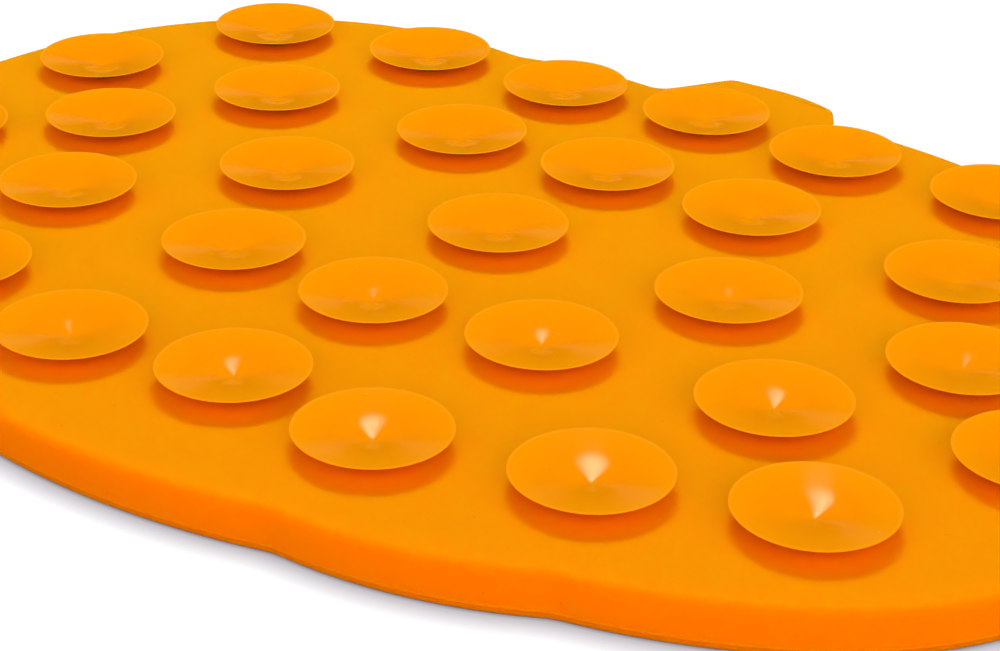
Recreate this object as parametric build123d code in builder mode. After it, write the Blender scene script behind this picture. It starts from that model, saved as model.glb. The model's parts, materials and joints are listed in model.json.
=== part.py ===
"""Lick mat: a soft lobed tray with a lick face below and a field of suction cups above.

The mat lies on its lick face. X runs along the cup rows, Y towards the stem tab and Z up.
The origin is on the resting plane, below the middle of the mat's box. Lengths are in millimetres.
"""

import os

from build123d import *

# Overall sizes of the mat
mat_length = 214.0
mat_depth = 154.5
wall_height = 6.5
web_thickness = 2.6
border_width = 4.0
edge_round = 0.8
foot_round = 0.6

# Roundings of the outline's corners
dip_round = 8.0
joint_round = 6.0
stem_left_round = 3.0
stem_tip_round = 1.2
stem_notch_round = 0.8

# Suction cups and the necks that carry them
cup_diameter = 20.0
cup_height = 2.65
lip_thickness = 0.35
neck_diameter = 7.0
neck_height = 0.5
floor_thickness = 0.4
floor_flat_radius = 0.3
dish_bulge = 0.13

# Relief of the lick face
relief_height = 3.2
relief_margin = 2.0
rib_width = 2.4
nub_root_diameter = 3.6
nub_tip_diameter = 2.6
nub_pitch = 6.4
bar_length = 9.0
bar_width = 2.2
bar_pitch_x = 11.4
bar_pitch_y = 5.2
cross_span = 7.0
cross_width = 1.8
cross_pitch_x = 9.0
cross_pitch_y = 8.2
quarter_turn = 90

# Places of the outline, as shares of half the length and half the depth.
# The first share is measured from the mat's own axis, which leans a little to the right.
axis_lean_share = 0.0735
field_centre_share = 0.0265
bottom_shares = (0.0, -1.0)
inner_joint_shares = (0.2215, -0.965)
inner_lobe_shares = (0.383, -0.952)
outer_joint_shares = (0.535, -0.877)
haunch_shares = (0.789, -0.746)
low_flank_shares = (0.985, -0.258)
flank_shares = (0.993, 0.131)
shoulder_shares = (0.864, 0.632)
crown_shares = (0.657, 0.829)
dip_shares = (0.383, 0.847)
left_brow_shares = (-0.26, 0.872)
right_brow_shares = (0.263, 0.882)
stem_root_left_shares = (-0.137, 0.858)
stem_tip_left_shares = (-0.073, 1.0)
stem_crest_shares = (0.0, 1.0)
stem_tip_right_shares = (0.113, 0.965)
stem_root_right_shares = (0.144, 0.894)

# Ribs that part the lobes: their upper ends, and their bows halfway down the mat
inner_rib_top_shares = (0.14, 0.87)
inner_rib_bow_shares = (0.31, -0.05)
outer_rib_bow_shares = (0.71, -0.05)

# Cup rows, from the stem to the foot: each cup's distance from the axis and its height
# above the middle cup. Cups off the axis stand on both sides of it.
cup_row_shares = [
    [(0.0, 0.702), (0.224, 0.665), (0.471, 0.666), (0.728, 0.595)],
    [(0.0, 0.350), (0.234, 0.332), (0.545, 0.297), (0.838, 0.227)],
    [(0.0, 0.0), (0.346, -0.004), (0.664, -0.005)],
    [(0.0, -0.357), (0.235, -0.333), (0.538, -0.306), (0.830, -0.227)],
    [(0.0, -0.712), (0.223, -0.753), (0.469, -0.671), (0.699, -0.571)],
]

# Nubs of the stem's pocket, along its middle
stem_nub_shares = [-0.04, 0.015, 0.07]
stem_nub_height_share = 0.875

# Sizes that follow from those above
half_length = mat_length / 2
half_depth = mat_depth / 2
tray_depth = wall_height - web_thickness
plate_top = wall_height
cup_radius = cup_diameter / 2
neck_radius = neck_diameter / 2
dish_floor = neck_height + floor_thickness
lip_underside = cup_height - lip_thickness
field_centre = field_centre_share * half_depth


def place(shares, side=1):
    """Return the point at the given shares, on the right (1) or left (-1) of the leaning axis."""
    y = shares[1] * half_depth
    return (side * shares[0] * half_length + axis_lean_share * (y - field_centre), y)


def cup_places():
    """Return the cups' centres, row by row from the stem and from left to right."""
    places = []
    for row in cup_row_shares:
        for share, height_share in reversed(row[1:]):
            places.append(place((share, height_share + field_centre_share), -1))
        for share, height_share in row:
            places.append(place((share, height_share + field_centre_share)))
    return places


def side_lobe(side):
    """Draw one flank of the outline, from the dip beside the stem down to the outer joint."""
    run = ThreePointArc(place(dip_shares, side), place(crown_shares, side), place(shoulder_shares, side))
    for shares in (flank_shares, low_flank_shares, haunch_shares, outer_joint_shares):
        run = TangentArc(run @ 1, place(shares, side), tangent=run % 1)


def inner_rib_arc(side):
    """Draw the bowed line between the middle lobe and the lobe beside it."""
    return ThreePointArc(
        place(inner_rib_top_shares, side), place(inner_rib_bow_shares, side), place(inner_joint_shares, side)
    )


def outer_rib_arc(side):
    """Draw the bowed line between an inner lobe and the flank."""
    return ThreePointArc(
        place(dip_shares, side), place(outer_rib_bow_shares, side), place(outer_joint_shares, side)
    )


def closed_between(left, right):
    """Join two bowed lines at their ends, so that they close a shape."""
    Line(left @ 0, right @ 0)
    Line(left @ 1, right @ 1)


def staggered(pitch_x, pitch_y):
    """Return places over the whole mat in rows, with every other row moved by half a pitch."""
    columns = int(half_length / pitch_x)
    rows = int(half_depth / pitch_y)
    places = []
    for row in range(-rows, rows + 1):
        shift = pitch_x / 2 * (row % 2)
        for column in range(-columns, columns + 1):
            places.append((column * pitch_x + shift, row * pitch_y))
    return places


def places_in(zone, pitch_x, pitch_y, reach_x, reach_y):
    """Return the staggered places whose marks, reaching that far each way, lie inside the zone."""
    inside = []
    for x, y in staggered(pitch_x, pitch_y):
        tips = [(x - reach_x, y), (x + reach_x, y), (x, y - reach_y), (x, y + reach_y)]
        if all(zone.is_inside((tip_x, tip_y, 0)) for tip_x, tip_y in tips):
            inside.append((x, y))
    return inside


# Outline of the mat, with its corners still sharp
with BuildSketch() as sharp_face:
    with BuildLine():
        ThreePointArc(place(inner_joint_shares, -1), place(bottom_shares), place(inner_joint_shares))
        for side in (-1, 1):
            ThreePointArc(
                place(inner_joint_shares, side), place(inner_lobe_shares, side), place(outer_joint_shares, side)
            )
            side_lobe(side)
        ThreePointArc(place(dip_shares, -1), place(left_brow_shares), place(stem_root_left_shares))
        Line(place(stem_root_left_shares), place(stem_tip_left_shares))
        crest = Line(place(stem_tip_left_shares), place(stem_crest_shares))
        TangentArc(place(stem_crest_shares), place(stem_tip_right_shares), tangent=crest % 1)
        Line(place(stem_tip_right_shares), place(stem_root_right_shares))
        ThreePointArc(place(stem_root_right_shares), place(right_brow_shares), place(dip_shares))
    make_face()

# Outline of the mat, with its corners rounded
with BuildSketch() as mat_face:
    add(sharp_face.sketch)
    corners = [
        (place(dip_shares, -1), dip_round),
        (place(dip_shares), dip_round),
        (place(inner_joint_shares, -1), joint_round),
        (place(inner_joint_shares), joint_round),
        (place(outer_joint_shares, -1), joint_round),
        (place(outer_joint_shares), joint_round),
        (place(stem_root_left_shares), stem_left_round),
        (place(stem_tip_left_shares), stem_left_round),
        (place(stem_tip_right_shares), stem_tip_round),
        (place(stem_root_right_shares), stem_notch_round),
    ]
    for point, corner_round in corners:
        fillet(mat_face.vertices().sort_by_distance(Vector(point))[0], corner_round)

# Floor of the tray, inside the border
with BuildSketch() as tray_face:
    offset(sharp_face.sketch, amount=-border_width)

# Base sheet
with BuildPart() as base_sheet:
    with BuildSketch(Plane.XY.offset(tray_depth)):
        add(mat_face.sketch)
    extrude(amount=web_thickness)
    fillet(base_sheet.faces().sort_by(Axis.Z)[-1].edges(), edge_round)

# Border rim
with BuildPart() as border_rim:
    with BuildSketch():
        add(mat_face.sketch)
    extrude(amount=tray_depth)
    fillet(border_rim.faces().sort_by(Axis.Z)[0].edges(), foot_round)
    with BuildSketch():
        add(tray_face.sketch)
    extrude(amount=tray_depth, mode=Mode.SUBTRACT)

# Part of the tray floor that the relief may take up
with BuildSketch() as relief_field:
    offset(sharp_face.sketch, amount=-border_width - relief_margin)

# Zones of the lick face: the middle lobe, the two lobes beside it, and the flanks
rib_room = rib_width / 2 + relief_margin
with BuildSketch() as middle_zone:
    with BuildLine():
        closed_between(inner_rib_arc(-1), inner_rib_arc(1))
    make_face()
    offset(amount=-rib_room)
    add(relief_field.sketch, mode=Mode.INTERSECT)

with BuildSketch() as left_zone:
    with BuildLine():
        closed_between(outer_rib_arc(-1), inner_rib_arc(-1))
    make_face()
    offset(amount=-rib_room)
    add(relief_field.sketch, mode=Mode.INTERSECT)

with BuildSketch() as right_zone:
    with BuildLine():
        closed_between(inner_rib_arc(1), outer_rib_arc(1))
    make_face()
    offset(amount=-rib_room)
    add(relief_field.sketch, mode=Mode.INTERSECT)

with BuildSketch() as inner_lobes:
    with BuildLine():
        closed_between(outer_rib_arc(-1), outer_rib_arc(1))
    make_face()
    offset(amount=rib_room)

with BuildSketch() as flank_zones:
    add(relief_field.sketch)
    add(inner_lobes.sketch, mode=Mode.SUBTRACT)

flank_faces = flank_zones.faces().sort_by(Axis.X)
relief_plane = Plane.XY.offset(tray_depth)

os.makedirs("parts", exist_ok=True)


def keep(builder, label):
    """Name a finished piece and write it."""
    builder.part.label = label
    export_step(builder.part, f"parts/{label}.step")


keep(base_sheet, "base_sheet")
keep(border_rim, "border_rim")

# Ribs between the lobes
rib_lines = [
    ("lobe_rib_left_outer", outer_rib_arc, -1),
    ("lobe_rib_left_inner", inner_rib_arc, -1),
    ("lobe_rib_right_inner", inner_rib_arc, 1),
    ("lobe_rib_right_outer", outer_rib_arc, 1),
]
for label, rib_arc, side in rib_lines:
    with BuildPart() as lobe_rib:
        with BuildSketch(relief_plane):
            with BuildLine():
                rib_arc(side)
            trace(line_width=rib_width)
            add(tray_face.sketch, mode=Mode.INTERSECT)
        extrude(amount=-relief_height)
    keep(lobe_rib, label)

# Nubs of the middle lobe and of the stem's pocket
nub_reach = nub_root_diameter / 2
stem_nub_row = [place((share, stem_nub_height_share)) for share in stem_nub_shares]
nub_groups = [
    ("middle_lobe_nubs", places_in(middle_zone.face(), nub_pitch, nub_pitch, nub_reach, nub_reach)),
    ("stem_nubs", stem_nub_row),
]
for label, places in nub_groups:
    with BuildPart() as nubs:
        with Locations([(x, y, tray_depth) for x, y in places]):
            Cone(
                bottom_radius=nub_tip_diameter / 2,
                top_radius=nub_root_diameter / 2,
                height=relief_height,
                align=(Align.CENTER, Align.CENTER, Align.MAX),
            )
    keep(nubs, label)

# Bars of the lobes beside the middle one
for label, zone in (("left_lobe_bars", left_zone), ("right_lobe_bars", right_zone)):
    with BuildPart() as bars:
        with BuildSketch(relief_plane):
            with Locations(places_in(zone.face(), bar_pitch_x, bar_pitch_y, bar_length / 2, bar_width / 2)):
                SlotOverall(bar_length, bar_width)
        extrude(amount=-relief_height)
    keep(bars, label)

# Crosses of the flanks
for label, zone in (("left_flank_crosses", flank_faces[0]), ("right_flank_crosses", flank_faces[-1])):
    with BuildPart() as crosses:
        with BuildSketch(relief_plane):
            with Locations(places_in(zone, cross_pitch_x, cross_pitch_y, cross_span / 2, cross_span / 2)):
                SlotOverall(cross_span, cross_width)
                SlotOverall(cross_span, cross_width, rotation=quarter_turn)
        extrude(amount=-relief_height)
    keep(crosses, label)

# Necks of the cups
with BuildPart() as cup_necks:
    with Locations([(x, y, plate_top) for x, y in cup_places()]):
        Cylinder(neck_radius, neck_height, align=(Align.CENTER, Align.CENTER, Align.MIN))
keep(cup_necks, "cup_necks")

# One suction cup on the axis: a thin dish that flares from its neck to a fine lip
with BuildPart() as cup_form:
    with BuildSketch(Plane.XZ) as cup_section:
        with BuildLine():
            floor_line = Line((0, dish_floor), (floor_flat_radius, dish_floor))
            SagittaArc(floor_line @ 1, (cup_radius, cup_height), dish_bulge)
            Line((cup_radius, cup_height), (cup_radius, lip_underside))
            Line((cup_radius, lip_underside), (neck_radius, neck_height))
            Line((neck_radius, neck_height), (0, neck_height))
            Line((0, neck_height), (0, dish_floor))
        make_face()
    revolve(axis=Axis.Z)

for number, (x, y) in enumerate(cup_places(), start=1):
    with BuildPart() as suction_cup:
        with Locations((x, y, plate_top)):
            add(cup_form.part)
    keep(suction_cup, f"suction_cup_{number:02d}")
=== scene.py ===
"""Lick mat in orange silicone, lying on its lick face with its field of suction cups up.

X runs along the cup rows, Y towards the stem tab and Z up, as in the CAD frame. Sizes in the classes are
in millimetres, and MM turns them into Blender's metres.
"""

import json
import logging
import math
from dataclasses import dataclass
from enum import Enum

import bmesh
import bpy
from mathutils import Matrix, Vector
from mathutils.geometry import tessellate_polygon

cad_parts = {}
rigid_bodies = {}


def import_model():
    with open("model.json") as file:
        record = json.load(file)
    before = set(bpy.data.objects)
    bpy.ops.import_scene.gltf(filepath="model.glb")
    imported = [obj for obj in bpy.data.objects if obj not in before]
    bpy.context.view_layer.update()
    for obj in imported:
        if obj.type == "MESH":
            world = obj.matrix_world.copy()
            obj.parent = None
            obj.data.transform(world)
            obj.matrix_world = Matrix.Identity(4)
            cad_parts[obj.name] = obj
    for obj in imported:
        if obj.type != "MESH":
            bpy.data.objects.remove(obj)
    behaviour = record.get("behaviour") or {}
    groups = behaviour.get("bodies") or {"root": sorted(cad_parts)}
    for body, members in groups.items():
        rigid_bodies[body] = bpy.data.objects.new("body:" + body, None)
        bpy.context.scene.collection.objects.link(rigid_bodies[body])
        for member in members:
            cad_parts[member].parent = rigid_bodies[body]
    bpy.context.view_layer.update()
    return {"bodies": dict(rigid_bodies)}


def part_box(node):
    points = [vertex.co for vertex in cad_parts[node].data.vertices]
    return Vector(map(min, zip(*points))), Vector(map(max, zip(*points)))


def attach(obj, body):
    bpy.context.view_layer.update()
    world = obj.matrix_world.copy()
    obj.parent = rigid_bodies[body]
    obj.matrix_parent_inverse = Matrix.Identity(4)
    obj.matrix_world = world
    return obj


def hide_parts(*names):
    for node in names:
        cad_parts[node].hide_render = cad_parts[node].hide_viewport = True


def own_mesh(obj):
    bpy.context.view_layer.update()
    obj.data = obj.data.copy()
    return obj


MM = 0.001
NECK_RADIUS = 3.5
SILICONE_IOR = 1.41
MERGE_DISTANCE = 1e-6
DOUBLES_DISTANCE = 1e-7
SLIVER_DISTANCE = 1e-8
LEVEL_TOLERANCE = 1e-5
RIM_SHARE = "rim_share"
LOG = logging.getLogger("lick_mat")


class Slot(Enum):
    """The record's material slots."""

    MAT = "mat_silicone"
    CUP = "cup_silicone"


class Axis(Enum):
    """Directions that a piece flattens along."""

    UP = (0.0, 0.0, 1.0)


def linear(hex_value: str) -> tuple[float, float, float, float]:
    """Turn an sRGB hex value into a linear colour.

    Args:
        hex_value: Six hex digits.

    Returns:
        The red, green and blue shares, and an alpha of 1.
    """
    shares = [int(hex_value[i : i + 2], 16) / 255 for i in (0, 2, 4)]
    bent = [s / 12.92 if s <= 0.04045 else ((s + 0.055) / 1.055) ** 2.4 for s in shares]
    return bent[0], bent[1], bent[2], 1.0


def add_node(tree: bpy.types.NodeTree, kind: str, feeds: dict | None = None, **settings) -> bpy.types.Node:
    """Add one node with its settings, values and links.

    Args:
        tree: The tree that the node goes into.
        kind: The node's type.
        feeds: For each input, by name or number, the socket that feeds it or its value.
        settings: The node's own properties.

    Returns:
        The new node.
    """
    node = tree.nodes.new(kind)
    for name, value in settings.items():
        setattr(node, name, value)
    for name, feed in (feeds or {}).items():
        if isinstance(feed, bpy.types.NodeSocket):
            tree.links.new(feed, node.inputs[name])
        else:
            node.inputs[name].default_value = feed
    return node


def new_object(name: str, mesh: bpy.types.Mesh) -> bpy.types.Object:
    """Put a mesh into the scene as an object at the origin.

    Args:
        name: The object's name.
        mesh: Its mesh, in the CAD frame.

    Returns:
        The new object.
    """
    piece = bpy.data.objects.new(name, mesh)
    bpy.context.scene.collection.objects.link(piece)
    return piece


def mesh_from(name: str, points: list, faces: list, edges: list | None = None) -> bpy.types.Mesh:
    """Make a mesh from points in metres.

    Args:
        name: The mesh's name.
        points: Its points.
        faces: Its faces, as runs of point numbers.
        edges: Its loose edges, if it has no faces.

    Returns:
        The new mesh.
    """
    mesh = bpy.data.meshes.new(name)
    mesh.from_pydata(points, edges or [], faces)
    mesh.update()
    return mesh


def close_up(mesh: bpy.types.Mesh) -> None:
    """Merge a closed mesh's doubles, turn its faces outward and shade it smooth.

    Args:
        mesh: The mesh, which is changed.
    """
    work = bmesh.new()
    work.from_mesh(mesh)
    bmesh.ops.remove_doubles(work, verts=work.verts, dist=DOUBLES_DISTANCE)
    bmesh.ops.dissolve_degenerate(work, edges=work.edges, dist=SLIVER_DISTANCE)
    bmesh.ops.recalc_face_normals(work, faces=work.faces)
    for face in work.faces:
        face.smooth = True
    work.to_mesh(mesh)
    work.free()
    mesh.update()


def merged_copy(node: bpy.types.Object) -> bmesh.types.BMesh:
    """Return a merged copy of a CAD node's mesh, whose own triangles are loose.

    Args:
        node: The CAD node's object, which isn't changed.

    Returns:
        The copy, to be freed by whoever asked for it.
    """
    work = bmesh.new()
    work.from_mesh(node.data)
    bmesh.ops.remove_doubles(work, verts=work.verts, dist=MERGE_DISTANCE)
    work.normal_update()
    return work


def island_places(node: bpy.types.Object) -> list[Vector]:
    """Find where each solid of a CAD node stands.

    Args:
        node: The CAD node's object.

    Returns:
        The middle of each solid's box, at the height of its lowest point.
    """
    work = merged_copy(node)
    left = set(work.verts)
    places = []
    while left:
        front = [left.pop()]
        island = []
        while front:
            point = front.pop()
            island.append(point.co.copy())
            for edge in point.link_edges:
                other = edge.other_vert(point)
                if other in left:
                    left.remove(other)
                    front.append(other)
        low = Vector([min(c[i] for c in island) for i in range(3)])
        high = Vector([max(c[i] for c in island) for i in range(3)])
        places.append(Vector(((low.x + high.x) / 2, (low.y + high.y) / 2, low.z)))
    work.free()
    return sorted(places, key=lambda p: (round(p.y, 5), round(p.x, 5)))


def ring_points(outline: list[Vector], inset: float, height: float) -> list[Vector]:
    """Move a closed outline inward and set its height.

    Args:
        outline: The outline's points, going round to the left.
        inset: How far inward, in metres.
        height: The height of the new ring, in metres.

    Returns:
        The ring's points.
    """
    count = len(outline)
    ring = []
    for i, point in enumerate(outline):
        along = outline[(i + 1) % count] - outline[i - 1]
        inward = Vector((-along.y, along.x, 0.0)).normalized()
        ring.append(Vector((point.x + inward.x * inset, point.y + inward.y * inset, height)))
    return ring


def loft(rings: list[list[Vector]], first: int = 0) -> list[tuple[int, int, int, int]]:
    """Join rings of equal count into bands of faces.

    Args:
        rings: The rings, in order.
        first: The number of the first ring's first point.

    Returns:
        The bands' faces.
    """
    count = len(rings[0])
    faces = []
    for band in range(len(rings) - 1):
        low = first + band * count
        for i in range(count):
            j = (i + 1) % count
            faces.append((low + i, low + j, low + count + j, low + count + i))
    return faces


def new_tree(name: str, inputs: dict[str, str]) -> tuple[bpy.types.NodeTree, bpy.types.Node]:
    """Start a Geometry Nodes tree with named inputs.

    Args:
        name: The tree's name.
        inputs: Each input's name and socket type.

    Returns:
        The tree and its input node.
    """
    tree = bpy.data.node_groups.new(name, "GeometryNodeTree")
    for label, kind in inputs.items():
        tree.interface.new_socket(label, in_out="INPUT", socket_type=kind)
    tree.interface.new_socket("Piece", in_out="OUTPUT", socket_type="NodeSocketGeometry")
    return tree, add_node(tree, "NodeGroupInput")


def close_tree(tree: bpy.types.NodeTree, made: bpy.types.NodeSocket, finish: bpy.types.NodeSocket) -> None:
    """End a Geometry Nodes tree: smooth, realized and with its finish.

    Args:
        tree: The tree.
        made: The socket that gives the geometry.
        finish: The socket that gives the material.
    """
    smooth = add_node(tree, "GeometryNodeSetShadeSmooth", {"Geometry": made})
    real = add_node(tree, "GeometryNodeRealizeInstances", {"Geometry": smooth.outputs[0]})
    dressed = add_node(tree, "GeometryNodeSetMaterial", {"Geometry": real.outputs[0], "Material": finish})
    add_node(tree, "NodeGroupOutput", {"Piece": dressed.outputs[0]})


def turned_tree() -> bpy.types.NodeTree:
    """Make the tree that turns a section about an upright axis and stands it at its place.

    Returns:
        The tree. Its result keeps each point's share of the rim's radius as an attribute.
    """
    tree, given = new_tree(
        "turned_section",
        {
            "Section": "NodeSocketGeometry",
            "Around": "NodeSocketInt",
            "Along": "NodeSocketInt",
            "Place": "NodeSocketVector",
            "Rim": "NodeSocketFloat",
            "Finish": "NodeSocketMaterial",
        },
    )
    columns = add_node(tree, "ShaderNodeMath", {0: given.outputs["Around"], 1: 1.0}, operation="ADD")
    grid = add_node(
        tree,
        "GeometryNodeMeshGrid",
        {
            "Size X": 1.0,
            "Size Y": 1.0,
            "Vertices X": columns.outputs[0],
            "Vertices Y": given.outputs["Along"],
        },
    )
    where = add_node(tree, "GeometryNodeInputPosition")
    on_grid = add_node(tree, "ShaderNodeSeparateXYZ", {0: where.outputs[0]})
    angle = add_node(
        tree, "ShaderNodeMath", {0: on_grid.outputs["X"], 1: math.tau, 2: math.pi}, operation="MULTIPLY_ADD"
    )
    last = add_node(tree, "ShaderNodeMath", {0: given.outputs["Along"], 1: 1.0}, operation="SUBTRACT")
    share = add_node(tree, "ShaderNodeMath", {0: on_grid.outputs["Y"], 1: 0.5}, operation="ADD")
    row = add_node(tree, "ShaderNodeMath", {0: share.outputs[0], 1: last.outputs[0]}, operation="MULTIPLY")
    whole = add_node(tree, "ShaderNodeMath", {0: row.outputs[0]}, operation="ROUND")
    sample = add_node(
        tree,
        "GeometryNodeSampleIndex",
        {"Geometry": given.outputs["Section"], "Index": whole.outputs[0]},
        data_type="FLOAT_VECTOR",
        domain="POINT",
        clamp=True,
    )
    tree.links.new(where.outputs[0], sample.inputs["Value"])
    section = add_node(tree, "ShaderNodeSeparateXYZ", {0: sample.outputs[0]})
    swing = add_node(tree, "ShaderNodeMath", {0: angle.outputs[0]}, operation="COSINE")
    sway = add_node(tree, "ShaderNodeMath", {0: angle.outputs[0]}, operation="SINE")
    radius = section.outputs["X"]
    x = add_node(tree, "ShaderNodeMath", {0: radius, 1: swing.outputs[0]}, operation="MULTIPLY")
    y = add_node(tree, "ShaderNodeMath", {0: radius, 1: sway.outputs[0]}, operation="MULTIPLY")
    point = add_node(
        tree, "ShaderNodeCombineXYZ", {"X": x.outputs[0], "Y": y.outputs[0], "Z": section.outputs["Z"]}
    )
    stood = add_node(
        tree, "ShaderNodeVectorMath", {0: point.outputs[0], 1: given.outputs["Place"]}, operation="ADD"
    )
    out_share = add_node(tree, "ShaderNodeMath", {0: radius, 1: given.outputs["Rim"]}, operation="DIVIDE")
    marked = add_node(
        tree,
        "GeometryNodeStoreNamedAttribute",
        {"Geometry": grid.outputs["Mesh"], "Name": RIM_SHARE, "Value": out_share.outputs[0]},
        data_type="FLOAT",
        domain="POINT",
    )
    turned = add_node(
        tree, "GeometryNodeSetPosition", {"Geometry": marked.outputs[0], "Position": stood.outputs[0]}
    )
    joined = add_node(
        tree, "GeometryNodeMergeByDistance", {"Geometry": turned.outputs[0], "Distance": MERGE_DISTANCE}
    )
    close_tree(tree, joined.outputs[0], given.outputs["Finish"])
    return tree


def marks_tree() -> bpy.types.NodeTree:
    """Make the tree that stands one moulded mark on each of the given places.

    Returns:
        The tree.
    """
    tree, given = new_tree(
        "marks_on_places",
        {"Places": "NodeSocketGeometry", "Mark": "NodeSocketObject", "Finish": "NodeSocketMaterial"},
    )
    mark = add_node(tree, "GeometryNodeObjectInfo", {"Object": given.outputs["Mark"]})
    stood = add_node(
        tree,
        "GeometryNodeInstanceOnPoints",
        {"Points": given.outputs["Places"], "Instance": mark.outputs["Geometry"]},
    )
    close_tree(tree, stood.outputs[0], given.outputs["Finish"])
    return tree


def grow(name: str, tree: bpy.types.NodeTree, start: bpy.types.Mesh, values: dict) -> bpy.types.Object:
    """Run a Geometry Nodes tree on a mesh and keep the result as a plain closed mesh.

    Args:
        name: The piece's name.
        tree: The tree.
        start: The mesh that the tree starts from.
        values: Each input's value, by its name.

    Returns:
        The finished object, with no modifier left on it.
    """
    piece = new_object(name, start)
    modifier = piece.modifiers.new("shape", "NODES")
    modifier.node_group = tree
    for item in tree.interface.items_tree:
        if item.item_type == "SOCKET" and item.in_out == "INPUT" and item.name in values:
            modifier[item.identifier] = values[item.name]
    bpy.context.view_layer.update()
    graph = bpy.context.evaluated_depsgraph_get()
    mesh = bpy.data.meshes.new_from_object(piece.evaluated_get(graph), depsgraph=graph)
    piece.modifiers.remove(modifier)
    piece.data = mesh
    mesh.name = name
    bpy.data.meshes.remove(start)
    close_up(mesh)
    return piece


def section_mesh(name: str, section: list[tuple[float, float]]) -> bpy.types.Mesh:
    """Make a turned piece's section, given in millimetres, into a run of points.

    Args:
        name: The mesh's name.
        section: Radius and height of each point, from axis to axis.

    Returns:
        The section as a mesh of edges.
    """
    points = [(r * MM, 0.0, z * MM) for r, z in section]
    return mesh_from(name, points, [], [(i, i + 1) for i in range(len(points) - 1)])


def arc(middle: tuple[float, float], radius: float, start: float, end: float, steps: int) -> list:
    """Return points on an arc of a section, angles in degrees.

    Args:
        middle: The arc's centre.
        radius: Its radius.
        start: The angle it starts at.
        end: The angle it ends at.
        steps: How many runs it has.

    Returns:
        The points, both ends among them.
    """
    turns = [math.radians(start + (end - start) * i / steps) for i in range(steps + 1)]
    return [(middle[0] + radius * math.cos(t), middle[1] + radius * math.sin(t)) for t in turns]


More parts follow.
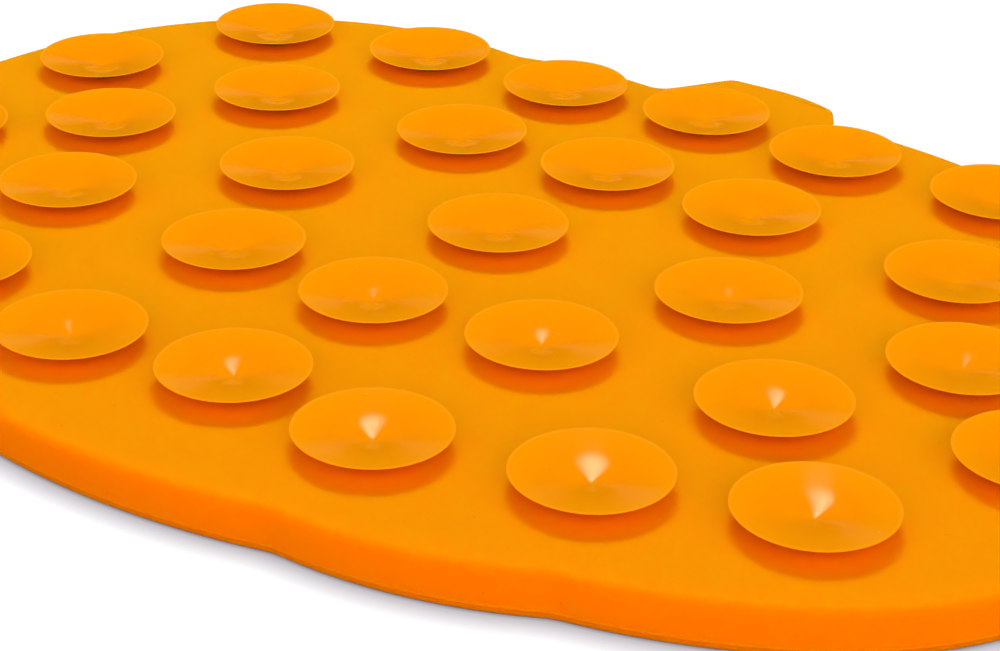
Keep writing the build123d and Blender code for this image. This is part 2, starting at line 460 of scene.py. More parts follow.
@dataclass(frozen=True)
class SiliconeFinish:
    """Compression-moulded silicone rubber, coloured through with orange pigment.

    Light enters it and spreads, red furthest, so shadows on it glow red and thin lips look lighter; a
    lighter tone painted at the cups' lips adds to that glow. A fine mould texture makes the sheet matt, and
    the cups come from a polished part of the mould.
    """

    name: str
    colour: str
    mottle: str
    # Painted lighter tone at a cup's lip, standing in for light that thin silicone lets through
    lip: str
    dust: str
    roughness: float
    roughness_swing: float
    rim_roughness: float
    gloss: float
    depth_share: float
    depth_mm: float
    depth_by_colour: tuple[float, float, float]
    grain_mm: float
    grain_height_mm: float
    mottle_mm: float
    dust_pitch_mm: float
    dust_mm: float
    dust_share: float
    # Share of the rim's radius where the painted lip glow begins
    lip_glow_from: float = 0.45
    matt_rim: tuple[float, float] = (0.955, 0.98)
    cloud_range: tuple[float, float] = (0.35, 0.65)
    gloss_range: tuple[float, float] = (0.3, 0.7)

    def material(self) -> bpy.types.Material:
        """Build the finish's node material.

        Returns:
            The new material.
        """
        material = bpy.data.materials.new(self.name)
        material.use_nodes = True
        tree = material.node_tree
        tree.nodes.clear()
        place = add_node(tree, "ShaderNodeTexCoord").outputs["Object"]

        # Pigment that isn't quite even, in soft clouds
        clouds = add_node(
            tree,
            "ShaderNodeTexNoise",
            {"Vector": place, "Scale": 1 / (self.mottle_mm * MM), "Detail": 3.0, "Roughness": 0.55},
        )
        cloud_share = add_node(
            tree,
            "ShaderNodeMapRange",
            {
                "Value": clouds.outputs["Fac"],
                "From Min": self.cloud_range[0],
                "From Max": self.cloud_range[1],
            },
        )
        pigment = add_node(
            tree,
            "ShaderNodeMix",
            {0: cloud_share.outputs[0], 6: linear(self.colour), 7: linear(self.mottle)},
            data_type="RGBA",
        )

        # Painted lip glow: towards a cup's thin lip the colour is painted lighter, for the light that thin
        # silicone lets back
        out_share = add_node(tree, "ShaderNodeAttribute", attribute_name=RIM_SHARE)
        painted_lip_glow = add_node(
            tree,
            "ShaderNodeMapRange",
            {"Value": out_share.outputs["Fac"], "From Min": self.lip_glow_from, "From Max": 1.0},
            interpolation_type="SMOOTHSTEP",
        )
        body = add_node(
            tree,
            "ShaderNodeMix",
            {0: painted_lip_glow.outputs[0], 6: pigment.outputs[2], 7: linear(self.lip)},
            data_type="RGBA",
        )

        # Dust that silicone draws: small specks, one in some of the cells
        cells = add_node(
            tree,
            "ShaderNodeTexVoronoi",
            {"Vector": place, "Scale": 1 / (self.dust_pitch_mm * MM), "Randomness": 1.0},
            feature="F1",
        )
        cell_value = add_node(tree, "ShaderNodeSeparateColor", {0: cells.outputs["Color"]})
        dusty = add_node(
            tree, "ShaderNodeMath", {0: cell_value.outputs[0], 1: self.dust_share}, operation="LESS_THAN"
        )
        reach = add_node(
            tree,
            "ShaderNodeMath",
            {0: cell_value.outputs[1], 1: self.dust_mm / self.dust_pitch_mm / 2},
            operation="MULTIPLY",
        )
        speck = add_node(
            tree,
            "ShaderNodeMapRange",
            {"Value": cells.outputs["Distance"], "From Min": 0.0, "To Min": 1.0, "To Max": 0.0},
            interpolation_type="SMOOTHSTEP",
        )
        tree.links.new(reach.outputs[0], speck.inputs["From Max"])
        dust = add_node(
            tree, "ShaderNodeMath", {0: speck.outputs[0], 1: dusty.outputs[0]}, operation="MULTIPLY"
        )
        colour = add_node(
            tree,
            "ShaderNodeMix",
            {0: dust.outputs[0], 6: body.outputs[2], 7: linear(self.dust)},
            data_type="RGBA",
        )

        # Mould texture: a fine grain that breaks up the gloss
        grain = add_node(
            tree,
            "ShaderNodeTexNoise",
            {"Vector": place, "Scale": 1 / (self.grain_mm * MM), "Detail": 2.0, "Roughness": 0.6},
        )
        bump = add_node(
            tree,
            "ShaderNodeBump",
            {"Strength": 1.0, "Distance": self.grain_height_mm * MM, "Height": grain.outputs["Fac"]},
        )
        rough = add_node(
            tree,
            "ShaderNodeMapRange",
            {
                "Value": clouds.outputs["Fac"],
                "From Min": self.gloss_range[0],
                "From Max": self.gloss_range[1],
                "To Min": self.roughness - self.roughness_swing,
                "To Max": self.roughness + self.roughness_swing,
            },
        )
        # The lip's edge is where the mould closes, so it is matt
        at_rim = add_node(
            tree,
            "ShaderNodeMapRange",
            {
                "Value": out_share.outputs["Fac"],
                "From Min": self.matt_rim[0],
                "From Max": self.matt_rim[1],
            },
        )
        edged = add_node(
            tree,
            "ShaderNodeMix",
            {0: at_rim.outputs[0], 2: rough.outputs[0], 3: self.rim_roughness},
            data_type="FLOAT",
        )
        shader = add_node(
            tree,
            "ShaderNodeBsdfPrincipled",
            {
                "Base Color": colour.outputs[2],
                "Roughness": edged.outputs[0],
                "IOR": SILICONE_IOR,
                "Specular IOR Level": self.gloss,
                "Subsurface Weight": self.depth_share,
                "Subsurface Radius": self.depth_by_colour,
                "Subsurface Scale": self.depth_mm * MM,
                "Normal": bump.outputs[0],
            },
            subsurface_method="RANDOM_WALK",
        )
        add_node(tree, "ShaderNodeOutputMaterial", {"Surface": shader.outputs[0]})
        return material


MAT_FINISH = SiliconeFinish(
    name="moulded_silicone_matt_orange",
    colour="ef9200",
    mottle="ee9100",
    lip="ef9200",
    dust="d87400",
    roughness=0.55,
    roughness_swing=0.04,
    rim_roughness=0.55,
    gloss=0.01,
    depth_share=1.0,
    depth_mm=3.4,
    depth_by_colour=(1.0, 0.36, 0.03),
    grain_mm=0.35,
    grain_height_mm=0.004,
    mottle_mm=9.0,
    dust_pitch_mm=1.6,
    dust_mm=0.45,
    dust_share=0.35,
)
CUP_FINISH = SiliconeFinish(
    name="moulded_silicone_polished_orange",
    colour="f99500",
    mottle="f89400",
    # Painted lip glow, lighter than the cup's colour
    lip="fd9b00",
    dust="ffc47a",
    roughness=0.06,
    roughness_swing=0.01,
    rim_roughness=1.0,
    gloss=0.128,
    depth_share=0.4,
    depth_mm=0.2,
    depth_by_colour=(1.0, 0.8, 0.1),
    grain_mm=0.5,
    grain_height_mm=0.001,
    mottle_mm=7.0,
    dust_pitch_mm=1.7,
    dust_mm=0.35,
    dust_share=0.3,
)


@dataclass
class MatBody:
    """The web and its border as one moulding: back face, wall with its parting line, foot and lick tray.

    The wall's rings are given as shares of the draft or the undercut, with their heights over the parting
    line.
    """

    edge_round: float = 1.2
    edge_steps: int = 9
    strip: float = 0.3
    draft: float = 0.1
    parting_height: float = 1.25
    undercut: float = 0.28
    draft_rings: tuple = ((0.6, 1.6), (1.0, 0.5), (1.0, 0.3), (0.5, 0.18), (0.0, 0.07))
    undercut_rings: tuple = ((0.0, -0.05), (0.5, -0.2), (0.9, -0.35))
    foot_round: float = 0.65
    tray_round: float = 0.35
    tray_strip: float = 0.2
    point_spacing: float = 0.7
    corner_turn: float = 28.0
    foot_steps: int = 5
    tray_steps: int = 3

    def outlines(self, border: bpy.types.Object) -> list[list[Vector]]:
        """Read the border's outer and inner outline from its CAD node.

        Args:
            border: The border's CAD object.

        Returns:
            The outer and the inner outline, each going round to the left.
        """
        work = merged_copy(border)
        top = max(v.co.z for v in work.verts)
        flat = {f for f in work.faces if all(v.co.z > top - LEVEL_TOLERANCE for v in f.verts)}
        rim = [e for e in work.edges if sum(f in flat for f in e.link_faces) == 1]
        joined: dict = {}
        for edge in rim:
            for vert in edge.verts:
                joined.setdefault(vert, []).append(edge.other_vert(vert))
        loops = []
        while joined:
            start = next(iter(joined))
            loop = [start]
            onward = joined.pop(start)[0]
            while onward in joined:
                loop.append(onward)
                ahead = [v for v in joined.pop(onward) if v in joined]
                if not ahead:
                    break
                onward = ahead[0]
            loops.append([Vector((v.co.x, v.co.y, 0.0)) for v in loop])
        work.free()
        turned = []
        for loop in sorted(loops, key=lambda p: -max(q.length for q in p)):
            area = sum(a.x * b.y - b.x * a.y for a, b in zip(loop, loop[1:] + loop[:1]))
            turned.append(loop if area > 0 else loop[::-1])
        return turned

    def smoothed(self, outline: list[Vector]) -> list[Vector]:
        """Run a smooth line through an outline's points, with its real corners kept.

        Args:
            outline: The outline, going round to the left.

        Returns:
            Points on the smooth line, about one spacing apart.
        """
        count = len(outline)
        corner = []
        for i in range(count):
            before = outline[i] - outline[i - 1]
            after = outline[(i + 1) % count] - outline[i]
            corner.append(math.degrees(before.angle(after)) > self.corner_turn)
        line = []
        for i in range(count):
            j = (i + 1) % count
            p1, p2 = outline[i], outline[j]
            p0 = 2 * p1 - p2 if corner[i] else outline[i - 1]
            p3 = 2 * p2 - p1 if corner[j] else outline[(j + 1) % count]
            steps = max(1, round((p2 - p1).length / (self.point_spacing * MM)))
            t1 = math.sqrt((p1 - p0).length)
            t2 = t1 + math.sqrt((p2 - p1).length)
            t3 = t2 + math.sqrt((p3 - p2).length)
            for step in range(steps):
                t = t1 + (t2 - t1) * step / steps
                a1 = p0.lerp(p1, t / t1)
                a2 = p1.lerp(p2, (t - t1) / (t2 - t1))
                a3 = p2.lerp(p3, (t - t2) / (t3 - t2))
                b1 = a1.lerp(a2, t / t2)
                b2 = a2.lerp(a3, (t - t1) / (t3 - t1))
                line.append(b1.lerp(b2, (t - t1) / (t2 - t1)))
        return line

    def wall_profile(self, top: float) -> list[tuple[float, float]]:
        """Give the wall's section from the back face down to the foot.

        Args:
            top: Height of the back face, in millimetres.

        Returns:
            Inset and height of each ring, in millimetres.
        """
        r = self.edge_round
        p = self.parting_height
        rings = [(r + self.strip, top)]
        rings += arc((r, top - r), r, 90.0, 180.0, self.edge_steps)
        # The wall leans in a little to the parting line, which stands proud over an undercut
        rings += [(self.draft * share, p + rise) for share, rise in self.draft_rings]
        rings += [(self.undercut * share, p + rise) for share, rise in self.undercut_rings]
        f = self.foot_round
        foot = arc((self.undercut + f, f), f, 180.0, 270.0, self.foot_steps)
        return rings + foot

    def tray_profile(self, top: float) -> list[tuple[float, float]]:
        """Give the tray's section from the foot's inner edge up to the tray floor.

        Args:
            top: Height of the tray floor, in millimetres.

        Returns:
            Inset and height of each ring, in millimetres.
        """
        r = self.tray_round
        rings = arc((-r, r), r, -90.0, 0.0, self.tray_steps)
        rings += arc((r, top - r), r, 180.0, 90.0, self.tray_steps)
        return rings + [(r + self.tray_strip, top)]

    def build(self, finish: bpy.types.Material) -> bpy.types.Object:
        """Make the moulding and hang it on the frame.

        Args:
            finish: The mat's material.

        Returns:
            The finished piece.
        """
        sheet_low, sheet_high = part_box("base_sheet")
        outer, inner = self.outlines(bpy.data.objects["border_rim"])
        outer = self.smoothed(outer)
        inner = self.smoothed(inner)
        wall = [ring_points(outer, i * MM, z * MM) for i, z in self.wall_profile(sheet_high.z / MM)]
        tray = [ring_points(inner, i * MM, z * MM) for i, z in self.tray_profile(sheet_low.z / MM)]
        points = [p for ring in wall + tray for p in ring]
        tray_start = len(wall) * len(outer)
        faces = loft(wall) + loft(tray, tray_start)
        faces.append(tuple(range(len(outer))))
        faces.append(tuple(range(len(points) - len(inner), len(points))))
        sole = [wall[-1], tray[0]]
        number = [tray_start - len(outer) + i for i in range(len(outer))]
        number += [tray_start + i for i in range(len(inner))]
        for triangle in tessellate_polygon(sole):
            faces.append(tuple(number[i] for i in triangle))
        mesh = mesh_from("mat_body", points, faces)
        close_up(mesh)
        piece = new_object("mat_body", mesh)
        mesh.materials.append(finish)
        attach(piece, "mat")
        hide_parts("base_sheet", "border_rim")
        return piece


@dataclass
class SuctionCups:
    """The cups: thin dishes that flare from a neck to a fine rounded lip."""

    apex_round: float = 0.22
    inner_slope: float = 0.233
    outer_slope: float = 0.17
    ease_from: float = 0.22
    ease_to: float = 0.62
    lip_thickness: float = 0.07
    lip_backing: float = 0.3
    backing_inset: float = 0.6
    under_bow: float = 1.12
    under_steps: int = 6
    lip_arc: tuple[float, float] = (80.0, -70.0)
    lip_steps: int = 6
    around: int = 128
    along: int = 32
    ring_crowding: float = 1.6
    press_keep: float = 0.3

    def slope(self, share: float) -> float:
        """Give the dish's slope: a cone that eases into a flatter one.

        Args:
            share: The place, as a share of the dish's radius.

        Returns:
            The rise over the run.
        """
        t = min(max((share - self.ease_from) / (self.ease_to - self.ease_from), 0.0), 1.0)
        return self.inner_slope + (self.outer_slope - self.inner_slope) * t * t * (3.0 - 2.0 * t)

    def section(self, radius: float, height: float) -> list[tuple[float, float]]:
        """Draw the dish's section, from the middle of its floor over the lip to its underside's middle.

        Args:
            radius: The lip's radius, in millimetres.
            height: The cup's height over its neck, in millimetres.

        Returns:
            Radius and height of each point, in millimetres, from the neck's top.
        """
        r = self.lip_thickness / 2
        reach = radius - r
        inside = [(reach, height)]
        for i in range(self.along - 1, -1, -1):
            q = reach * (i / self.along) ** self.ring_crowding
            before, z = inside[-1]
            middle = (before + q) / 2
            eased = self.slope(middle / radius) * middle / math.hypot(middle, self.apex_round)
            inside.append((q, z - eased * (before - q)))
        inside.reverse()
        lip = arc((reach, height - r), r, *self.lip_arc, self.lip_steps)
        back_radius = radius - self.backing_inset
        back_height = height - self.lip_backing
        under = [(back_radius, back_height)]
        for i in range(1, self.under_steps + 1):
            t = i / self.under_steps
            out = back_radius + (NECK_RADIUS - back_radius) * t
            under.append((out, back_height * (1 - t) ** self.under_bow))
        return inside + lip + under + [(NECK_RADIUS * 0.5, 0.0), (0.0, 0.0)]

    def build(
        self, finish: bpy.types.Material, bodies: list[str], tree: bpy.types.NodeTree
    ) -> list[bpy.types.Object]:
        """Make every cup and hang it on the frame.

        Args:
            finish: The cups' material.
            bodies: The names of the cups' bodies.
            tree: The tree that turns a section.

        Returns:
            The finished pieces.
        """
        pieces = []
        for body in bodies:
            number = body.split("_")[1]
            node = f"suction_cup_{number}"
            low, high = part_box(node)
            radius = (high.x - low.x) / 2
            section = self.section(radius / MM, (high.z - low.z) / MM)
            place = Vector(((low.x + high.x) / 2, (low.y + high.y) / 2, low.z))
            piece = grow(
                f"cup_{number}",
                tree,
                section_mesh("cup_section", section),
                {
                    "Around": self.around,
                    "Along": len(section),
                    "Place": place,
                    "Rim": radius,
                    "Finish": finish,
                },
            )
            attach(piece, "mat")
            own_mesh(piece)
            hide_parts(node)
            pieces.append(piece)
        return pieces


@dataclass
class CupNecks:
    """The short necks between the back face and the cups, with a small fillet at their feet."""

    fillet: float = 0.25
    fillet_steps: int = 3
    around: int = 24

    def build(
        self, finish: bpy.types.Material, turn: bpy.types.NodeTree, stand: bpy.types.NodeTree
    ) -> bpy.types.Object:
        """Make the necks and hang them on the frame.

        Args:
            finish: The mat's material.
            turn: The tree that turns a section.
            stand: The tree that stands marks on places.

        Returns:
            The finished piece.
        """
        node = bpy.data.objects["cup_necks"]
        low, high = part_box("cup_necks")
        tall = (high.z - low.z) / MM
        f = self.fillet
        curve = arc((NECK_RADIUS + f, f), f, 180.0, 270.0, self.fillet_steps)
        section = [(0.0, tall), (NECK_RADIUS, tall)] + curve + [(0.0, 0.0)]
        mark = grow(
            "neck_mark",
            turn,
            section_mesh("neck_section", section),
            {
                "Around": self.around,
                "Along": len(section),
                "Place": Vector((0, 0, 0)),
                "Rim": NECK_RADIUS * MM,
                "Finish": finish,
            },
        )
        piece = grow(
            "cup_necks_moulded",
            stand,
            mesh_from("neck_places", island_places(node), []),
            {"Mark": mark, "Finish": finish},
        )
        bpy.data.objects.remove(mark)
        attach(piece, "mat")
        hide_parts("cup_necks")
        return piece


class MarkShape(Enum):
    """Shapes of the lick face's marks."""

    NUB = "nub"
    BAR = "bar"
    CROSS = "cross"


@dataclass
class LickRelief:
    """The lick face's marks: round nubs, bars and crosses, with soft crests that a tongue runs over."""

    crest_round: float = 0.7
    crest_rings: tuple = ((1.0, 1.0), (0.75, 0.34), (0.15, 0.0))
    nub_root: float = 3.6
    nub_tip: float = 2.6
    bar_length: float = 9.0
    bar_width: float = 2.2
    cross_span: float = 7.0
    cross_width: float = 1.8
    around: int = 12
    bar_steps: int = 5
    arm_steps: int = 3

    def outline(self, shape: MarkShape) -> list[Vector]:
        """Draw a mark's outline, going round to the left.

        Args:
            shape: The mark's shape.

        Returns:
            The outline's points, in metres.
        """
        if shape is MarkShape.NUB:
            pairs = arc((0.0, 0.0), self.nub_root / 2, 0.0, 360.0 - 360.0 / self.around, self.around - 1)
        elif shape is MarkShape.BAR:
            r = self.bar_width / 2
            reach = self.bar_length / 2 - r
            pairs = arc((reach, 0.0), r, -90.0, 90.0, self.bar_steps)
            pairs += arc((-reach, 0.0), r, 90.0, 270.0, self.bar_steps)
        else:
            r = self.cross_width / 2
            reach = self.cross_span / 2 - r
            pairs = []
            for quarter in range(4):
                turn = Matrix.Rotation(math.radians(90 * quarter), 2)
                arm = arc((reach, 0.0), r, -90.0, 90.0, self.arm_steps) + [(r, r)]
                pairs += [tuple(turn @ Vector(p)) for p in arm]
        return [Vector((x * MM, y * MM, 0.0)) for x, y in pairs]

    def mark(self, shape: MarkShape, tall: float) -> bpy.types.Object:
        """Make one mark, standing on its crest at the origin.

        Args:
            shape: The mark's shape.
            tall: The mark's height, in metres.

        Returns:
            The mark, to be removed once it has been used.
        """
        outline = self.outline(shape)
        taper = (self.nub_root - self.nub_tip) / 2 * MM if shape is MarkShape.NUB else 0.0
        r = self.crest_round * MM
        rings = [ring_points(outline, 0.0, tall)]
        for out, rise in self.crest_rings:
            rings.append(ring_points(outline, taper + r - out * r, rise * r))
        points = [p for ring in rings for p in ring]
        count = len(outline)
        last = len(points) - count
        faces = loft(rings) + [tuple(range(count)), tuple(range(last, len(points)))]
        mesh = mesh_from(f"{shape.value}_mark", points, faces)
        close_up(mesh)
        return new_object(f"{shape.value}_mark", mesh)

    def build(self, finish: bpy.types.Material, stand: bpy.types.NodeTree) -> list[bpy.types.Object]:
        """Make every field of marks and hang it on the frame.

        Args:
            finish: The mat's material.
            stand: The tree that stands marks on places.

        Returns:
            The finished pieces.
        """
        fields = {
            "middle_lobe_nubs": MarkShape.NUB,
            "stem_nubs": MarkShape.NUB,
            "left_lobe_bars": MarkShape.BAR,
            "right_lobe_bars": MarkShape.BAR,
            "left_flank_crosses": MarkShape.CROSS,
            "right_flank_crosses": MarkShape.CROSS,
        }
        pieces = []
        for node, shape in fields.items():
            low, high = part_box(node)
            mark = self.mark(shape, high.z - low.z)
            places = mesh_from("places", island_places(bpy.data.objects[node]), [])
            piece = grow(f"{node}_moulded", stand, places, {"Mark": mark, "Finish": finish})
            bpy.data.objects.remove(mark)
            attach(piece, "mat")
            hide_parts(node)
            pieces.append(piece)
        return pieces


@dataclass
class LobeRibs:
    """The ribs that part the lobes of the lick face, with rounded crests."""

    crest_round: float = 0.75
    steps: int = 4
    flat_angle: float = 0.5
    crest_angle: float = 0.5
    sharp_angle: float = 50.0

    def build(self, finish: bpy.types.Material) -> list[bpy.types.Object]:
        """Round each rib's crest and hang it on the frame.

        Args:
            finish: The mat's material.

        Returns:
            The finished pieces.
        """
        pieces = []
        for side in ("left_outer", "left_inner", "right_inner", "right_outer"):
            node = f"lobe_rib_{side}"
            low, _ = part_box(node)
            work = merged_copy(bpy.data.objects[node])
            bmesh.ops.dissolve_limit(
                work,
                angle_limit=math.radians(self.flat_angle),
                verts=work.verts,
                edges=work.edges,
                delimit=set(),
            )
            level = low.z + LEVEL_TOLERANCE
            lowest = [e for e in work.edges if all(v.co.z < level for v in e.verts)]
            crest = [e for e in lowest if e.calc_face_angle(0.0) > self.crest_angle]
            bmesh.ops.bevel(
                work,
                geom=crest,
                offset=self.crest_round * MM,
                segments=self.steps,
                profile=0.5,
                affect="EDGES",
                clamp_overlap=True,
            )
            mesh = bpy.data.meshes.new(f"{node}_moulded")
            work.to_mesh(mesh)
            work.free()
            close_up(mesh)
            mesh.set_sharp_from_angle(angle=math.radians(self.sharp_angle))
            piece = new_object(f"{node}_moulded", mesh)
            mesh.materials.append(finish)
            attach(piece, "mat")
            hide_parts(node)
            pieces.append(piece)
        return pieces


def towards(turn: float, height: float) -> Vector:
    """Give the way from the mat to a place around it.

    Args:
        turn: The bearing, in degrees from the stem's side, to the right.
        height: The height above the horizon, in degrees.

    Returns:
        A vector of length 1.
    """
    bearing = math.radians(turn)
    rise = math.radians(height)
    level = math.cos(rise)
    return Vector((math.sin(bearing) * level, math.cos(bearing) * level, math.sin(rise)))


@dataclass(frozen=True)
class Softbox:
    """A flat soft lamp that faces the mat, evenly lit or brightest in its middle.

    Turn and height are its bearing and its height above the horizon, in degrees. Fall says how fast its face
    dims towards its edges, 0 for an even face, and mirrored whether it shows in glossy surfaces.
    """

    name: str
    turn: float
    height: float
    distance: float
    size: tuple[float, float]
    power: float
    colour: str
    fall: float = 0.0
    mirrored: bool = True

    def build(self) -> None:
        """Add the lamp to the scene."""
        data = bpy.data.lights.new(self.name, "AREA")
        data.shape = "RECTANGLE"
        data.size = self.size[0]
        data.size_y = self.size[1]
        data.energy = self.power
        data.color = linear(self.colour)[:3]
        if self.fall > 0.0:
            self.dim_edges(data)
        lamp = bpy.data.objects.new(self.name, data)
        lamp.visible_glossy = self.mirrored
        bpy.context.scene.collection.objects.link(lamp)
        away = towards(self.turn, self.height)
        lamp.rotation_mode = "QUATERNION"
        lamp.location = away * self.distance
        lamp.rotation_quaternion = (-away).to_track_quat("-Z", "Y")

    def dim_edges(self, data: bpy.types.AreaLight) -> None:
        """Make the face dim towards its edges, as cloth in front of a bulb does.

        Args:
            data: The lamp's data.
        """
        data.use_nodes = True
        tree = data.node_tree
        tree.nodes.clear()
        on_face = add_node(tree, "ShaderNodeNewGeometry").outputs["Parametric"]
        from_middle = add_node(
            tree,
            "ShaderNodeVectorMath",
            {0: on_face, 1: (2.0, 2.0, 0.0), 2: (-1.0, -1.0, 0.0)},
            operation="MULTIPLY_ADD",
        )
        squared = add_node(
            tree,
            "ShaderNodeVectorMath",
            {0: from_middle.outputs[0], 1: from_middle.outputs[0]},
            operation="MULTIPLY",
        )
        left_over = add_node(
            tree, "ShaderNodeVectorMath", {0: (1.0, 1.0, 1.0), 1: squared.outputs[0]}, operation="SUBTRACT"
        )
        sides = add_node(tree, "ShaderNodeSeparateXYZ", {0: left_over.outputs[0]})
        both = add_node(
            tree,
            "ShaderNodeMath",
            {0: sides.outputs[0], 1: sides.outputs[1]},
            operation="MULTIPLY",
            use_clamp=True,
        )
        level = add_node(tree, "ShaderNodeMath", {0: both.outputs[0], 1: self.fall}, operation="POWER")
        face = add_node(tree, "ShaderNodeEmission", {"Strength": level.outputs[0]})
        add_node(tree, "ShaderNodeOutputLight", {"Surface": face.outputs[0]})


KEY_COLOUR = "dfffdc"
FILL_COLOUR = "ffc8b2"
KEY = {"turn": -31.0, "height": 59.6, "distance": 0.85, "colour": KEY_COLOUR}
FILL = {"height": 28.0, "distance": 1.2, "size": (1.8, 0.8), "power": 10.0, "colour": FILL_COLOUR}
SOFTBOXES = (
    Softbox("key_softbox", size=(0.385, 0.212), power=7.0, fall=1.4, **KEY),
    Softbox("key_spread", size=(0.67, 0.36), power=2.35, mirrored=False, **KEY),
    Softbox("fill_right", turn=118.0, mirrored=False, **FILL),
    Softbox("fill_left", turn=166.0, mirrored=False, **FILL),
)


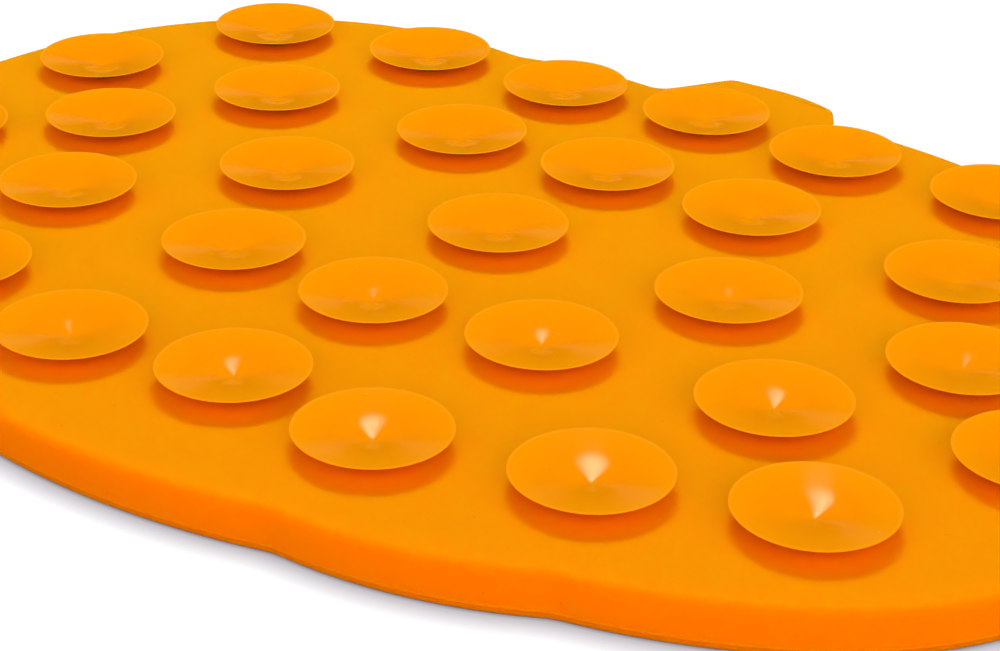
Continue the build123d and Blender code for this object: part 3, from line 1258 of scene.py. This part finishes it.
@dataclass
class Studio:
    """White floor, main light from behind, fills from the near side, camera at the photograph's angle."""

    softboxes: tuple[Softbox, ...] = SOFTBOXES
    ambient: float = 0.25
    gloss_level: float = 0.01
    glow_turn: float = -35.0
    glow_height: float = 18.5
    glow_spread: tuple[float, float] = (17.0, 7.0)
    glow_level: float = 0.24
    floor_half: float = 3.0
    floor_colour: str = "5a6068"
    floor_bounce: str = "b88476"
    # Blue-grey tint of the painted contact shadow on the floor's glow
    painted_shadow_tint: str = "e6ecff"
    floor_roughness: float = 0.9
    # Reach of the painted contact shadow, which ambient occlusion draws
    painted_contact_shadow_mm: float = 4.6
    painted_contact_shadow_samples: int = 16
    camera_place: tuple[float, float, float] = (0.1699, -0.26705, 0.15547)
    camera_forward: tuple[float, float, float] = (-0.4739, 0.7537, -0.4554)
    camera_roll: float = 1.30
    lens: float = 89.14
    sensor: float = 36.0
    clip: tuple[float, float] = (0.01, 50.0)

    def camera(self) -> None:
        """Place the camera."""
        data = bpy.data.cameras.new("photo_camera")
        data.lens = self.lens
        data.sensor_width = self.sensor
        data.sensor_fit = "HORIZONTAL"
        data.clip_start = self.clip[0]
        data.clip_end = self.clip[1]
        camera = bpy.data.objects.new("photo_camera", data)
        bpy.context.scene.collection.objects.link(camera)
        forward = Vector(self.camera_forward).normalized()
        right = forward.cross(Vector((0, 0, 1))).normalized()
        up = right.cross(forward)
        roll = math.radians(self.camera_roll)
        across = right * math.cos(roll) + up * math.sin(roll)
        upward = up * math.cos(roll) - right * math.sin(roll)
        turn = Matrix((across, upward, -forward)).transposed().to_4x4()
        camera.matrix_world = Matrix.Translation(self.camera_place) @ turn
        bpy.context.scene.camera = camera

    def world(self) -> None:
        """Make the surroundings: white to the camera, soft grey light, a low pale glow in reflections."""
        world = bpy.data.worlds.new("studio_world")
        bpy.context.scene.world = world
        world.use_nodes = True
        tree = world.node_tree
        tree.nodes.clear()
        path = add_node(tree, "ShaderNodeLightPath")
        way = add_node(tree, "ShaderNodeTexCoord").outputs["Generated"]
        width, height = (math.sin(math.radians(spread)) for spread in self.glow_spread)
        across = towards(self.glow_turn + 90.0, 0.0) / width
        upward = towards(self.glow_turn, self.glow_height + 90.0) / height
        sideways = add_node(tree, "ShaderNodeVectorMath", {0: way, 1: across}, operation="DOT_PRODUCT")
        rise = add_node(tree, "ShaderNodeVectorMath", {0: way, 1: upward}, operation="DOT_PRODUCT")
        off = add_node(
            tree, "ShaderNodeCombineXYZ", {"X": sideways.outputs["Value"], "Y": rise.outputs["Value"]}
        )
        away = add_node(tree, "ShaderNodeVectorMath", {0: off.outputs[0]}, operation="LENGTH")
        shine = add_node(
            tree,
            "ShaderNodeMapRange",
            {
                "Value": away.outputs["Value"],
                "From Min": 0.0,
                "From Max": 1.0,
                "To Min": self.glow_level,
                "To Max": self.gloss_level,
            },
            interpolation_type="SMOOTHSTEP",
        )
        glossy = add_node(
            tree,
            "ShaderNodeMath",
            {0: path.outputs["Is Glossy Ray"], 1: path.outputs["Is Transmission Ray"]},
            operation="MAXIMUM",
        )
        lit = add_node(
            tree,
            "ShaderNodeMix",
            {0: glossy.outputs[0], 2: self.ambient, 3: shine.outputs[0]},
            data_type="FLOAT",
        )
        level = add_node(
            tree,
            "ShaderNodeMix",
            {0: path.outputs["Is Camera Ray"], 2: lit.outputs[0], 3: 1.0},
            data_type="FLOAT",
        )
        glow = add_node(tree, "ShaderNodeBackground", {"Color": (1, 1, 1, 1), "Strength": level.outputs[0]})
        add_node(tree, "ShaderNodeOutputWorld", {"Surface": glow.outputs[0]})

    def floor(self) -> None:
        """Lay the white floor: its glow to the camera is darkened near the mat by ambient occlusion as a
        painted contact shadow with a blue-grey tint, and its diffuse part keeps the lamps' real shadow.
        """
        half = self.floor_half
        corners = [(-half, -half, 0), (half, -half, 0), (half, half, 0), (-half, half, 0)]
        floor = new_object("studio_floor", mesh_from("studio_floor", corners, [(0, 1, 2, 3)]))
        material = bpy.data.materials.new("white_paper_sweep")
        material.use_nodes = True
        tree = material.node_tree
        tree.nodes.clear()
        path = add_node(tree, "ShaderNodeLightPath")
        mirrored = add_node(
            tree,
            "ShaderNodeMath",
            {0: path.outputs["Is Glossy Ray"], 1: path.outputs["Is Transmission Ray"]},
            operation="MAXIMUM",
        )
        seen = add_node(
            tree,
            "ShaderNodeMath",
            {0: path.outputs["Is Camera Ray"], 1: mirrored.outputs[0]},
            operation="MAXIMUM",
        ).outputs[0]
        # Painted contact shadow: ambient occlusion darkens the floor's glow near the mat and tints it
        # blue-grey
        painted_shadow_ao = add_node(
            tree,
            "ShaderNodeAmbientOcclusion",
            {"Distance": self.painted_contact_shadow_mm * MM},
            samples=self.painted_contact_shadow_samples,
        )
        glow = add_node(tree, "ShaderNodeMath", {0: seen, 1: painted_shadow_ao.outputs["AO"]}, operation="MULTIPLY")
        shade = add_node(
            tree,
            "ShaderNodeMix",
            {0: painted_shadow_ao.outputs["AO"], 6: linear(self.painted_shadow_tint), 7: (1, 1, 1, 1)},
            data_type="RGBA",
        )
        white = add_node(
            tree,
            "ShaderNodeMix",
            {0: seen, 6: linear(self.floor_bounce), 7: linear(self.floor_colour)},
            data_type="RGBA",
        )
        paper = add_node(
            tree,
            "ShaderNodeBsdfPrincipled",
            {
                "Base Color": white.outputs[2],
                "Roughness": self.floor_roughness,
                "Specular IOR Level": 0.0,
                "Emission Color": shade.outputs[2],
                "Emission Strength": glow.outputs[0],
            },
        )
        add_node(tree, "ShaderNodeOutputMaterial", {"Surface": paper.outputs[0]})
        floor.data.materials.append(material)

    def build(self) -> None:
        """Set up the light, the floor, the camera and the view."""
        for softbox in self.softboxes:
            softbox.build()
        self.world()
        self.floor()
        self.camera()
        bpy.context.scene.view_settings.view_transform = "Standard"


def main() -> None:
    """Build the mat on its CAD frame, in order, and report each piece."""
    logging.basicConfig(level=logging.INFO, format="%(name)s: %(message)s")
    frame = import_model()
    Studio().build()
    mat_finish = MAT_FINISH.material()
    cup_finish = CUP_FINISH.material()
    turn = turned_tree()
    stand = marks_tree()
    cup_bodies = sorted(b for b in frame["bodies"] if b.startswith("cup_"))
    pieces = [MatBody().build(mat_finish)]
    pieces += SuctionCups().build(cup_finish, cup_bodies, turn)
    pieces.append(CupNecks().build(mat_finish, turn, stand))
    pieces += LickRelief().build(mat_finish, stand)
    pieces += LobeRibs().build(mat_finish)
    for piece in pieces:
        LOG.info("%s: %d faces", piece.name, len(piece.data.polygons))


if __name__ == "__main__":
    main()
